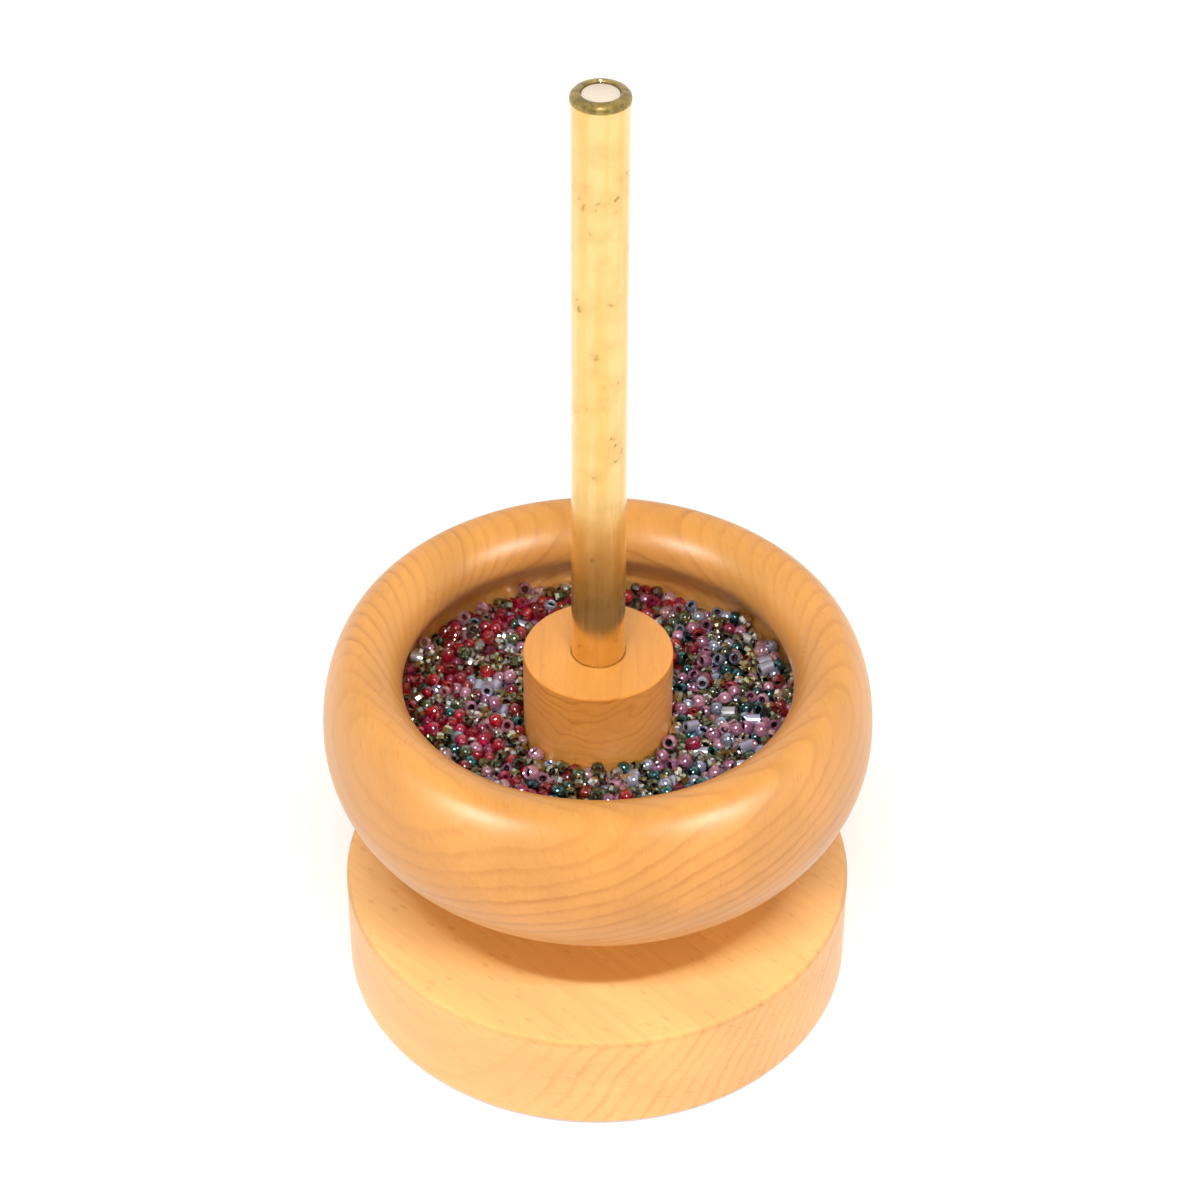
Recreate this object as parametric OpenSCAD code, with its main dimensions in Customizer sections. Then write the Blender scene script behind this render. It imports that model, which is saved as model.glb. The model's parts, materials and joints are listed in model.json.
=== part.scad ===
// Bead spinner: a turned bowl on a hollow spindle that spins on a steel axle and lifts off it.
// Millimetres, +Z up. The origin is on the floor, under the centre of the base.

/* [Base] */
// Diameter of the turned base
base_d = 118.6; // [100:0.2:150]
// Height of the turned base, without its feet
base_h = 26.3; // [20:0.1:40]
// Radius that eases the base's top and bottom edges
base_ease = 1.4; // [0.5:0.1:3]
// Number of feet under the base
foot_count = 4; // [3:1:8]
// Diameter of a foot
foot_d = 12; // [8:0.5:20]
// Thickness of a foot
foot_t = 2; // [1.5:0.1:4]
// Depth that a foot sits in its recess
foot_sink = 1; // [0.5:0.1:1.2]
// Distance from the base's edge to a foot's centre
foot_inset = 15; // [12:0.5:24]

/* [Axle and its nuts] */
// Diameter of the steel axle
axle_d = 6; // [5:0.1:7]
// Length of axle below the lower nut
axle_stub = 1.5; // [0.5:0.1:3]
// Width of a nut across its flats
nut_af = 10; // [9:0.1:13]
// Height of a nut
nut_h = 5; // [3:0.1:7]
// Diameter of a washer
washer_d = 18; // [14:0.1:24]
// Thickness of a washer
washer_t = 1.6; // [1:0.1:2.5]
// Room round the lower washer for a box spanner
spanner_room = 1.5; // [1:0.1:3]
// Depth that the axle's end stays inside the base's underside
axle_inset = 1.2; // [0.5:0.1:4]

/* [Pivot at the top] */
// Diameter of the ball between the axle and the plug
ball_d = 5; // [4:0.1:5.6]
// Depth that the ball sits in the axle's end
axle_cup = 1.2; // [0.8:0.1:1.6]
// Depth that the ball sits in the plug
plug_cup = 2; // [1.2:0.1:2.2]
// Length of the plug
plug_len = 12; // [6:0.5:20]
// Depth of the plug's top below the tube's end
plug_recess = 0.5; // [0.2:0.1:2]
// Chamfer round the plug's top
plug_chamfer = 0.4; // [0.2:0.1:0.8]

/* [Spindle tube and its bush] */
// Outer diameter of the tube
tube_d = 12; // [10.5:0.1:16]
// Bore of the tube
tube_bore = 8; // [7.4:0.1:9]
// Length of tube that stands out of the hub
tube_proud = 143.4; // [60:0.2:200]
// Widening of the tube at its top lip, on the diameter
lip_flare = 0.5; // [0.2:0.1:1]
// Height over which the tube widens to its lip
lip_h = 3; // [1:0.1:6]
// Height of the rounded nose above the lip
nose_h = 1.5; // [0.5:0.1:2.5]
// Length of the bush inside the tube
bush_len = 12; // [6:0.5:20]
// Diameter of the bush's flange
flange_d = 15; // [13:0.1:20]
// Thickness of the bush's flange
flange_t = 1.2; // [0.8:0.1:2]
// Gap between the upper nut and the bush's flange
spin_gap = 0.8; // [0.4:0.1:3]

/* [Hub] */
// Diameter of the hub
hub_d = 33.7; // [24:0.1:44]
// Depth of the hub's top below the rim of the bowl
hub_drop = 0.75; // [0:0.05:6]
// Length of the hub that shows under the bowl
neck_len = 14.3; // [4:0.1:30]
// Radius that eases the hub's end edges
hub_ease = 0.6; // [0.3:0.1:1.5]

/* [Bowl] */
// Diameter of the bowl at its widest
bowl_d = 124.8; // [110:0.2:150]
// Height of the bowl
bowl_h = 43; // [38:0.5:60]
// Height of the widest line above the bowl's underside
belly_h = 22.3; // [16:0.1:28]
// Width of the rounding from the underside to the widest line
belly_round = 18.4; // [10:0.1:26]
// Width from the widest line in to the top of the rim
rim_outer = 9; // [6:0.1:12]
// Width from the top of the rim in to the mouth
rim_inner = 9.3; // [6:0.1:12]
// Depth of the narrowest line of the mouth below the top of the rim
mouth_depth = 9.2; // [6:0.1:12]
// Width that the inside widens below the mouth
undercut = 5; // [2:0.1:7]
// Height over which the inside widens
undercut_h = 10; // [6:0.5:11]
// Thickness of the bowl's floor
floor_t = 8; // [5:0.1:10]
// Radius between the floor and the inner wall
floor_round = 9; // [4:0.5:12]

/* [Beads] */
// Depth of the heap's surface below the top of the rim
bead_depth = 19.2; // [14:0.1:20]
// Diameter of a bead
bead_d = 2.9; // [2:0.1:3.2]
// Number of beads that stand out of the heap's surface
bead_count = 300; // [100:10:380]
// How far a bead's middle lies above or below the heap's surface
bead_uneven = 0.4; // [0.1:0.1:0.8]

/* [Fits] */
// Radial gap where one piece turns or slides on another
running_fit = 0.06; // [0.02:0.01:0.1]
// Radial gap where pieces are pressed or glued together
glued_fit = 0.03; // [0.01:0.01:0.1]
// Gap round the ball
ball_fit = 0.09; // [0.05:0.01:0.1]
// Gap round a bolt or a foot in its hole
loose_fit = 0.2; // [0.1:0.05:0.5]
// Gap between the beads and the wood
bead_gap = 0.3; // [0.1:0.1:0.6]

/* [Hidden] */
$fn = 96;

// How far a cut runs past the face that it opens
past = 1;
// Turn from one bead to the next that spreads them evenly
golden_angle = 180 * (3 - sqrt(5));
// Turn of the wave that makes their heights uneven, from one bead to the next
uneven_step = 77;

// Radii
base_r = base_d / 2;
axle_r = axle_d / 2;
ball_r = ball_d / 2;
tube_r = tube_d / 2;
tube_bore_r = tube_bore / 2;
lip_r = tube_r + lip_flare / 2;
hub_r = hub_d / 2;
bowl_r = bowl_d / 2;
crest_r = bowl_r - rim_outer;
mouth_r = crest_r - rim_inner;
cavity_r = mouth_r + undercut;
socket_r = washer_d / 2 + spanner_room;

// Heights of the base and what fastens the axle to it
base_z = foot_t - foot_sink;
base_top = base_z + base_h;
axle_z = base_z + axle_inset;
lower_nut_z = axle_z + axle_stub;
lower_washer_z = lower_nut_z + nut_h;
socket_z = lower_washer_z + washer_t;
upper_nut_z = base_top + washer_t;

// Heights of the hub and the bowl
flange_z = upper_nut_z + nut_h + spin_gap;
hub_z = flange_z + flange_t;
under_z = hub_z + neck_len;
floor_z = under_z + floor_t;
belly_z = under_z + belly_h;
rim_z = under_z + bowl_h;
mouth_z = rim_z - mouth_depth;
cavity_z = mouth_z - undercut_h;
hub_top = rim_z - hub_drop;
bead_z = rim_z - bead_depth;

// The wall below the undercut leaves this much room for the floor's rounding
floor_fillet = min(floor_round, cavity_z - floor_z - 0.5);

// Heights of the tube and the pivot inside its top
tube_top = hub_top + tube_proud;
plug_top = tube_top - plug_recess;
plug_z = plug_top - plug_len;
ball_z = plug_z + plug_cup - ball_r;
axle_top = ball_z - ball_r + axle_cup;

beech = "#E2A55E";
brass = "#D9B65A";
steel = "#B9BDC1";
nylon = "#F1E8DA";
dark_rubber = "#3A3A3C";
mixed_beads = "#7A4E5C";

// Points of an elliptical arc about the centre c, with half axes rx and rz, from angle a to angle b
function arc(c, rx, rz, a, b, n = 14, first = 0) = [
    for (i = [first:n])
        let (t = a + (b - a) * i / n)
            [c[0] + rx * cos(t), c[1] + rz * sin(t)]
];

// Radius of the bowl's inner wall at height z, from the mouth down to the floor's rounding
function wall_r(z) =
    z > cavity_z
        ? mouth_r + undercut * (1 - cos(180 * (mouth_z - z) / undercut_h)) / 2
        : cavity_r;

// Points down the inner wall from z_from to z_to, moved in by gap
function wall_points(z_from, z_to, gap, n, first = 0) = [
    for (i = [first:n])
        let (z = z_from + (z_to - z_from) * i / n)
            [wall_r(z) - gap, z]
];

// Ring of outer radius r and bore radius bore from z0 up to z1, with both outer edges eased
module eased_ring(r, bore, z0, z1, ease) {
    rotate_extrude()
        polygon(concat(
            [[bore, z0]],
            arc([r - ease, z0 + ease], ease, ease, -90, 0, 6),
            arc([r - ease, z1 - ease], ease, ease, 0, 90, 6),
            [[bore, z1]]
        ));
}

// One copy of the children at each foot's place
module at_feet() {
    for (i = [0:foot_count - 1])
        rotate(360 * (i + 0.5) / foot_count)
            translate([base_r - foot_inset, 0, 0])
                children();
}

// Turned beech drum, drilled for the axle, with a socket for the lower nut and recesses for the feet
module base_body() {
    color(beech)
        difference() {
            eased_ring(base_r, axle_r + loose_fit, base_z, base_top, base_ease);
            translate([0, 0, base_z - past])
                cylinder(r = socket_r, h = socket_z - base_z + past);
            at_feet()
                translate([0, 0, base_z - past])
                    cylinder(d = foot_d + 2 * loose_fit, h = foot_sink + past);
        }
}

// Rubber feet, let into the base's underside
module base_feet() {
    color(dark_rubber)
        at_feet()
            cylinder(d = foot_d, h = foot_t);
}

// Flat steel washer whose underside is at z
module washer(z) {
    color(steel)
        translate([0, 0, z])
            difference() {
                cylinder(d = washer_d, h = washer_t);
                translate([0, 0, -past])
                    cylinder(r = axle_r + loose_fit, h = washer_t + 2 * past);
            }
}

// Hexagon nut whose underside is at z, with its corners chamfered at both ends
module nut(z) {
    corner_r = nut_af / 2 / cos(30);
    flat_r = nut_af / 2;
    chamfer_h = (corner_r - flat_r) * tan(30);
    color(steel)
        translate([0, 0, z])
            difference() {
                intersection() {
                    cylinder(r = corner_r, h = nut_h, $fn = 6);
                    rotate_extrude()
                        polygon([
                            [0, 0],
                            [flat_r, 0],
                            [corner_r, chamfer_h],
                            [corner_r, nut_h - chamfer_h],
                            [flat_r, nut_h],
                            [0, nut_h]
                        ]);
                }
                translate([0, 0, -past])
                    cylinder(r = axle_r + glued_fit, h = nut_h + 2 * past);
            }
}

module lower_washer() {
    washer(lower_washer_z);
}

module lower_nut() {
    nut(lower_nut_z);
}

module upper_washer() {
    washer(base_top);
}

module upper_nut() {
    nut(upper_nut_z);
}

// Steel rod clamped in the base, with a cup for the ball in its upper end
module axle() {
    end_chamfer = 0.5;
    color(steel)
        difference() {
            rotate_extrude()
                polygon([
                    [0, axle_z],
                    [axle_r - end_chamfer, axle_z],
                    [axle_r, axle_z + end_chamfer],
                    [axle_r, axle_top],
                    [0, axle_top]
                ]);
            translate([0, 0, ball_z])
                sphere(r = ball_r + ball_fit);
        }
}

// Steel ball that the bowl and its spindle turn on
module pivot_ball() {
    color(steel)
        translate([0, 0, ball_z])
            sphere(r = ball_r);
}

// Pale plug in the tube's top, cupped underneath for the ball
module top_plug() {
    plug_r = tube_bore_r - glued_fit;
    color(nylon)
        difference() {
            rotate_extrude()
                polygon([
                    [0, plug_z],
                    [plug_r, plug_z],
                    [plug_r, plug_top - plug_chamfer],
                    [plug_r - plug_chamfer, plug_top],
                    [0, plug_top]
                ]);
            translate([0, 0, ball_z])
                sphere(r = ball_r + ball_fit);
        }
}

// Brass tube through the whole hub, flared a little to a rounded lip at its top
module spindle_tube() {
    lip_z = tube_top - nose_h;
    nose_w = lip_r - tube_bore_r;
    color(brass)
        rotate_extrude()
            polygon(concat(
                [[tube_bore_r, hub_z], [tube_r, hub_z], [tube_r, lip_z - lip_h]],
                arc([tube_bore_r, lip_z], nose_w, nose_h, 0, 90, 8)
            ));
}

// Flanged bush in the tube's lower end, which guides it on the axle
module tube_bush() {
    bore_r = axle_r + running_fit;
    color(nylon)
        rotate_extrude()
            polygon([
                [bore_r, flange_z],
                [flange_d / 2, flange_z],
                [flange_d / 2, hub_z],
                [tube_bore_r - glued_fit, hub_z],
                [tube_bore_r - glued_fit, hub_z + bush_len],
                [bore_r, hub_z + bush_len]
            ]);
}

// Beech dowel that joins the tube to the bowl, as the hub inside and as a short neck below
module hub() {
    color(beech)
        eased_ring(hub_r, tube_r + glued_fit, hub_z, hub_top, hub_ease);
}

// Turned beech bowl with a round, overhanging rim
module bowl() {
    bore_r = hub_r + glued_fit;
    color(beech)
        rotate_extrude()
            polygon(concat(
                [[bore_r, under_z]],
                arc([bowl_r - belly_round, belly_z], belly_round, belly_h, -90, 0, 18),
                arc([crest_r, belly_z], rim_outer, rim_z - belly_z, 0, 90, 18, 1),
                arc([crest_r, mouth_z], rim_inner, mouth_depth, 90, 180, 14, 1),
                wall_points(mouth_z, cavity_z, 0, 12, 1),
                arc([cavity_r - floor_fillet, floor_z + floor_fillet], floor_fillet, floor_fillet, 0, -90, 8),
                [[bore_r, floor_z]]
            ));
}

// The loose beads in the bowl, as one heap with a layer of half-sunk beads over its surface
module bead_charge() {
    inner_r = hub_r + bead_gap;
    fillet_z = floor_z + floor_fillet;
    bead_r = bead_d / 2;
    first_r = inner_r + bead_r;
    last_r = wall_r(bead_z + bead_r + bead_uneven) - bead_gap - bead_r;
    color(mixed_beads) {
        rotate_extrude()
            polygon(concat(
                [[inner_r, bead_z], [inner_r, floor_z + bead_gap]],
                arc([cavity_r - floor_fillet, fillet_z], floor_fillet - bead_gap, floor_fillet - bead_gap, -90, 0, 8),
                wall_points(fillet_z, bead_z, bead_gap, 6, 1)
            ));
        // Sunflower order, in which each bead takes an equal share of the surface
        for (i = [0:bead_count - 1])
            rotate(i * golden_angle)
                translate([
                    sqrt(first_r ^ 2 + (last_r ^ 2 - first_r ^ 2) * (i + 0.5) / bead_count),
                    0,
                    bead_z + bead_uneven * sin(i * uneven_step)
                ])
                    sphere(r = bead_r);
    }
}

base_body();
base_feet();
lower_washer();
lower_nut();
upper_washer();
upper_nut();
axle();
pivot_ball();
top_plug();
spindle_tube();
tube_bush();
hub();
bowl();
bead_charge();
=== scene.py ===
"""Looks of a bead spinner: turned beech, a drawn brass tube and a bowl of loose glass seed beads.

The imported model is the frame, and every piece here stands in the place of one of its nodes.
Lengths are metres, and MM turns millimetres into them. +Z is up and -Y is towards the viewer.
"""

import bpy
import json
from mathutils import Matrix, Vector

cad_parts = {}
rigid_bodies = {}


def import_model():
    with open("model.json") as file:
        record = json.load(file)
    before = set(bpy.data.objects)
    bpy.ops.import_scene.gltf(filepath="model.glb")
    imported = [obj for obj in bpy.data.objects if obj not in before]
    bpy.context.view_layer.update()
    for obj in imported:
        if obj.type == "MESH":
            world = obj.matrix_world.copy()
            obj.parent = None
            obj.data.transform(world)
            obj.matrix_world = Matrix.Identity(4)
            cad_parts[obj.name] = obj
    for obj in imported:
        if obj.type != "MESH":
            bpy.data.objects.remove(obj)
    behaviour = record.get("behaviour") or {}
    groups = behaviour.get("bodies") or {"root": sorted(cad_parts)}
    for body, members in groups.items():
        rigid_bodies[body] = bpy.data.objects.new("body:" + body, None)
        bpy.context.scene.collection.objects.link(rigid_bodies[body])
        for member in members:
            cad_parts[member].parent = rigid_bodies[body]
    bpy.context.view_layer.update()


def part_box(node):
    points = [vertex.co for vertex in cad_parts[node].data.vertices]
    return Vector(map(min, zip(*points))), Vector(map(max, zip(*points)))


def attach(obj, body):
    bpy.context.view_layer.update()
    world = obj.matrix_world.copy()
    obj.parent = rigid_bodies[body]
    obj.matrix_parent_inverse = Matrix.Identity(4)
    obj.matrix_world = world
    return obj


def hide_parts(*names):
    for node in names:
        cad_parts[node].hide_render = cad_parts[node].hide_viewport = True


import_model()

import json
import logging
import math
from collections.abc import Callable
from dataclasses import dataclass
from enum import Enum
from functools import partial

import bmesh
import bpy
import numpy as np
from mathutils import Matrix, Vector

LOG = logging.getLogger("bead_spinner")
MM = 0.001
# Angle in degrees above which an edge between two faces usually stays sharp
CREASE = 35
# Sockets of a Mix node that blends colours
MIX_A = 6
MIX_B = 7
MIX_RESULT = 2
Point = tuple[float, float]
Place = tuple[float, float, float]
Outline = list[Point]
Object = bpy.types.Object
Material = bpy.types.Material
Socket = bpy.types.NodeSocket
Adder = Callable[..., Socket]


class Body(Enum):
    """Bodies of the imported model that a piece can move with."""

    BASE = "base"
    PIVOT = "pivot"
    BOWL = "bowl"


class Slot(Enum):
    """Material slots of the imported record."""

    BEECH = "beech"
    BRASS = "brass"
    STEEL = "steel"
    BALL = "ball_steel"
    NYLON = "nylon"
    RUBBER = "rubber"
    BEADS = "beads"


def linear(code: str) -> tuple[float, float, float, float]:
    """Turns an sRGB hex colour into the linear colour that a shader takes.

    Args:
        code: A hash and six hex digits.

    Returns:
        Linear red, green and blue, and an alpha of 1.
    """
    parts = [int(code[i:i + 2], 16) / 255 for i in (1, 3, 5)]
    shares = [c / 12.92 if c <= 0.04045 else ((c + 0.055) / 1.055) ** 2.4 for c in parts]
    return (shares[0], shares[1], shares[2], 1.0)


def add_node(
    tree: bpy.types.NodeTree, kind: str, *inputs: object, output: str | int | None = 0, **settings: object
) -> Socket | bpy.types.bpy_prop_collection:
    """Adds one node, sets it up and links it.

    Args:
        tree: Shader or geometry tree that takes the node.
        kind: Name of the node's class without a leading ShaderNode, and then its operation, if any.
        inputs: What the inputs get, in order, and by name or place where this is a dict. It is a
            value, a hex colour or a node's output. A MapRange takes the value, the range that it
            comes from and the range that it goes to.
        output: Name or place of the output that is wanted, or None for all of them.
        settings: Properties of the node.

    Returns:
        The output or outputs.
    """
    kind, _, operation = kind.partition(" ")
    node = tree.nodes.new(kind if "Node" in kind else f"ShaderNode{kind}")
    if operation:
        node.operation = operation
    for name, value in settings.items():
        setattr(node, name, value)
    given = {}
    for place, value in enumerate(inputs):
        given |= value if isinstance(value, dict) else {place: value}
    for name, value in given.items():
        if isinstance(value, Socket):
            tree.links.new(value, node.inputs[name])
        else:
            is_colour = isinstance(value, str) and value.startswith("#")
            node.inputs[name].default_value = linear(value) if is_colour else value
    return node.outputs if output is None else node.outputs[output]


def empty_tree(owner: Material | bpy.types.World) -> Adder:
    """Gives a material or world an empty tree.

    Args:
        owner: The material or world.

    Returns:
        Function that adds nodes to the tree.
    """
    owner.use_nodes = True
    owner.node_tree.nodes.clear()
    return partial(add_node, owner.node_tree)


def arc(
    centre: Point, half_r: float, half_z: float, start: float, end: float, steps: int, first: int = 0
) -> Outline:
    """Points of an elliptical arc in an outline.

    Args:
        centre: Radius and height of the arc's centre.
        half_r: Half axis along the radius.
        half_z: Half axis along the height.
        start: Angle of the first point in degrees, from the outward direction.
        end: Angle of the last point in degrees.
        steps: Number of steps between the two angles.
        first: First step that gives a point, so that a shared point isn't doubled.

    Returns:
        Radius and height of each point.
    """
    angles = [math.radians(start + (end - start) * i / steps) for i in range(first, steps + 1)]
    return [(centre[0] + half_r * math.cos(a), centre[1] + half_z * math.sin(a)) for a in angles]


def eased_ring(r: float, bore: float, low_z: float, high_z: float, ease: float, chamfer: float) -> Outline:
    """Outline of a ring whose outer edges are rounded and whose bore is chamfered.

    Args:
        r: Outer radius.
        bore: Bore radius.
        low_z: Height of the lower face.
        high_z: Height of the upper face.
        ease: Radius of the outer edges.
        chamfer: Chamfer round both ends of the bore.

    Returns:
        Closed outline, anticlockwise with the radius to the right.
    """
    return [
        (bore, low_z + chamfer),
        (bore + chamfer, low_z),
        *arc((r - ease, low_z + ease), ease, ease, -90, 0, 8),
        *arc((r - ease, high_z - ease), ease, ease, 0, 90, 8),
        (bore + chamfer, high_z),
        (bore, high_z - chamfer),
    ]


class NodeTool:
    """A Geometry Nodes tree with named inputs, and the way to run it on an object."""

    def __init__(self, name: str, **sockets: str) -> None:
        """Starts a tree that takes geometry, a crease and a material and gives geometry.

        Args:
            name: Name of the tree.
            sockets: Kind of each further input, by name.
        """
        self.tree = bpy.data.node_groups.new(name, "GeometryNodeTree")
        ends = {"Geometry": "Geometry", "Crease": "Float", "Material": "Material", **sockets}
        new_socket = self.tree.interface.new_socket
        new_socket(name="Geometry", in_out="OUTPUT", socket_type="NodeSocketGeometry")
        for label, kind in ends.items():
            new_socket(name=label, in_out="INPUT", socket_type=f"NodeSocket{kind}")
        self.add = partial(add_node, self.tree)
        self.given = self.add("NodeGroupInput", output=None)

    def finish(self, mesh: Socket) -> None:
        """Ends the tree: real meshes in place of instances, creases, smooth shading and material.

        Args:
            mesh: Output that holds the shape.
        """
        add, given = self.add, self.given
        real = add("GeometryNodeRealizeInstances", mesh)
        angle = add("GeometryNodeInputMeshEdgeAngle")
        sharp = add("FunctionNodeCompare GREATER_THAN", angle, given["Crease"])
        marks = {"Name": "sharp_edge", "Value": sharp}
        creased = add("GeometryNodeStoreNamedAttribute", real, marks, data_type="BOOLEAN", domain="EDGE")
        smooth = add("GeometryNodeSetShadeSmooth", creased)
        dressed = add("GeometryNodeSetMaterial", smooth, {"Material": given["Material"]})
        add("NodeGroupOutput", dressed, output=None)

    def run(self, piece: Object, material: Material, crease: float = CREASE, **values: object) -> None:
        """Runs the tree on an object and keeps the result as its plain mesh.

        Args:
            piece: Object whose mesh goes in.
            material: Its finish.
            crease: Angle in degrees above which an edge stays sharp.
            values: What each further input gets, by name.
        """
        modifier = piece.modifiers.new(self.tree.name, "NODES")
        modifier.node_group = self.tree
        values |= {"Crease": math.radians(crease), "Material": material}
        for item in self.tree.interface.items_tree:
            if item.in_out == "INPUT" and item.name in values:
                modifier[item.identifier] = values[item.name]
        depsgraph = bpy.context.evaluated_depsgraph_get()
        made = bpy.data.meshes.new_from_object(
            piece.evaluated_get(depsgraph), preserve_all_data_layers=True, depsgraph=depsgraph
        )
        piece.modifiers.clear()
        old = piece.data
        piece.data = made
        bpy.data.meshes.remove(old)
        made.name = piece.name


def new_piece(name: str, points: np.ndarray | list, edges: list, faces: list) -> Object:
    """Makes an object at the origin and links it into the scene.

    Args:
        name: Name of the object and its mesh.
        points: Place of each point.
        edges: Pairs of points, for a mesh without faces.
        faces: Points of each face, anticlockwise seen from outside.

    Returns:
        The object.
    """
    mesh = bpy.data.meshes.new(name)
    mesh.from_pydata([tuple(p) for p in points], edges, faces)
    mesh.update()
    piece = bpy.data.objects.new(name, mesh)
    bpy.context.scene.collection.objects.link(piece)
    return piece


def hand_over(piece: Object, body: Body, node: str) -> None:
    """Gives a finished piece its body and the node that it stands for.

    Args:
        piece: Finished piece.
        body: Body that it moves with.
        node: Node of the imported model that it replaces.
    """
    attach(piece, body.value)
    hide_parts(node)
    LOG.info("%s: %d faces, on body %s", piece.name, len(piece.data.polygons), body.value)


class Lathe(NodeTool):
    """Turns an outline about +Z into a closed solid, as a wood lathe or a screw machine does."""

    REFERENCE = 0.05
    MERGE = 0.0001 * MM

    def __init__(self) -> None:
        """Builds the tree: the outline is swept round a circle, and doubles on the axis are merged."""
        super().__init__("lathe", Segments="Int")
        add, given = self.add, self.given
        outline = add("GeometryNodeMeshToCurve", given["Geometry"])
        round_axis = {"Resolution": given["Segments"], "Radius": self.REFERENCE}
        circle = add("GeometryNodeCurvePrimitiveCircle", round_axis)
        swept = add("GeometryNodeCurveToMesh", circle, outline)
        self.finish(add("GeometryNodeMergeByDistance", swept, {"Distance": self.MERGE}))

    def turn(
        self, name: str, outline: Outline, material: Material, segments: int = 96, crease: float = CREASE
    ) -> Object:
        """Turns one piece.

        Args:
            name: Name of the piece.
            outline: Radius and height of each point, anticlockwise with the radius to the right.
                One that starts and ends on the axis isn't closed.
            material: Finish of the piece.
            segments: Flats round the axis.
            crease: Angle in degrees above which an edge stays sharp.

        Returns:
            The turned piece.
        """
        # The sweep puts the outline's x along the radius and its y downwards
        points = [(r - self.REFERENCE, -z, 0.0) for r, z in reversed(outline)]
        edges = [(i, i + 1) for i in range(len(points) - 1)]
        if min(outline)[0] > self.MERGE:
            edges.append((len(points) - 1, 0))
        piece = new_piece(name, points, edges, [])
        self.run(piece, material, crease, Segments=segments)
        return piece


class RingTool(NodeTool):
    """Sets equal copies of a shape evenly round a circle, turned half a step."""

    def around(self, shape: Socket, height: Socket | float = 0.0) -> Socket:
        """Adds the nodes that set the copies round the circle.

        Args:
            shape: Shape that is copied.
            height: Height of the circle.

        Returns:
            Output with the copies.
        """
        add, given = self.add, self.given
        circle = add("GeometryNodeMeshCircle", given["Count"], given["Circle"])
        half_step = add("Math DIVIDE", math.pi, given["Count"])
        lift = add("CombineXYZ", {"Z": height})
        turn = add("CombineXYZ", {"Z": half_step})
        places = add("GeometryNodeTransform", circle, lift, turn)
        return add("GeometryNodeInstanceOnPoints", places, {"Instance": shape})


class FootDrill(RingTool):
    """Cuts a ring of round, flat-bottomed recesses into a piece from below."""

    FLATS = 48

    def __init__(self) -> None:
        """Builds the tree: a cutter stands on each point of a circle and is taken out of the piece."""
        kinds = dict.fromkeys(("Circle", "Radius", "Top", "Depth"), "Float")
        super().__init__("foot_drill", Count="Int", **kinds)
        add, given = self.add, self.given
        middle = add("Math MULTIPLY_ADD", given["Depth"], -0.5, given["Top"])
        drill = {"Vertices": self.FLATS, "Radius": given["Radius"], "Depth": given["Depth"]}
        copies = self.around(add("GeometryNodeMeshCylinder", drill), middle)
        cutters = {"Mesh 2": add("GeometryNodeRealizeInstances", copies)}
        cut = add("GeometryNodeMeshBoolean DIFFERENCE", given["Geometry"], cutters, solver="EXACT")
        self.finish(cut)


class RingOfCopies(RingTool):
    """Sets equal copies of a piece, modelled on the axis, evenly round a circle."""

    def __init__(self) -> None:
        """Builds the tree: one copy stands on each point of a circle."""
        super().__init__("ring_of_copies", Count="Int", Circle="Float")
        self.finish(self.around(self.given["Geometry"]))


class BeadScatter(NodeTool):
    """Puts a drilled bead on each point, turned and sized by the point's own attributes."""

    def __init__(self) -> None:
        """Builds the tree: a section with few corners is swept round the hole, then copied."""
        kinds = dict.fromkeys(("Middle", "Hole", "Outside"), "Float")
        super().__init__("bead_scatter", Around="Int", Corners="Int", Section="Vector", **kinds)
        add, given = self.add, self.given
        polygon = {"Resolution": given["Corners"], "Radius": 1.0}
        corners = add("GeometryNodeCurvePrimitiveCircle", polygon)
        half_step = add("Math DIVIDE", math.pi, given["Corners"])
        turn = {"Rotation": add("CombineXYZ", {"Z": half_step})}
        upright = add("GeometryNodeTransform", corners, turn)
        section = add("GeometryNodeTransform", upright, {"Scale": given["Section"]})
        round_hole = {"Resolution": given["Around"], "Radius": given["Middle"]}
        circle = add("GeometryNodeCurvePrimitiveCircle", round_hole)
        bead = add("GeometryNodeCurveToMesh", circle, section)
        flat = add("VectorMath MULTIPLY", add("GeometryNodeInputPosition"), (1, 1, 0))
        reach = add("VectorMath LENGTH", flat, output="Value")
        # The hole's wall is marked, so that the glass makes it a silver mirror or paints it dark as a
        # painted shade in the hole
        inwards = add("MapRange", reach, given["Outside"], given["Hole"])
        lining = {"Name": "lining", "Value": inwards}
        marked = add("GeometryNodeStoreNamedAttribute", bead, lining, data_type="FLOAT", domain="POINT")
        turned = add("GeometryNodeInputNamedAttribute", "turn", data_type="FLOAT_VECTOR")
        size = add("GeometryNodeInputNamedAttribute", "size", data_type="FLOAT")
        rotation = add("FunctionNodeEulerToRotation", turned)
        how = {"Instance": marked, "Rotation": rotation, "Scale": size}
        self.finish(add("GeometryNodeInstanceOnPoints", given["Geometry"], how))


class Finish:
    """Base of the finishes: starts a material and ends it on a Principled shader."""

    name: str

    def start(self) -> Adder:
        """Makes an empty material of this finish's name, and returns what adds nodes to it."""
        return empty_tree(bpy.data.materials.new(self.name))

    def end(self, add: Adder, looks: dict[str, object]) -> Material:
        """Adds the shader and the output.

        Args:
            add: What start() gave.
            looks: What the shader's inputs get.

        Returns:
            The finished material.
        """
        add("OutputMaterial", add("BsdfPrincipled", looks), output=None)
        return bpy.data.materials[self.name]


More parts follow.
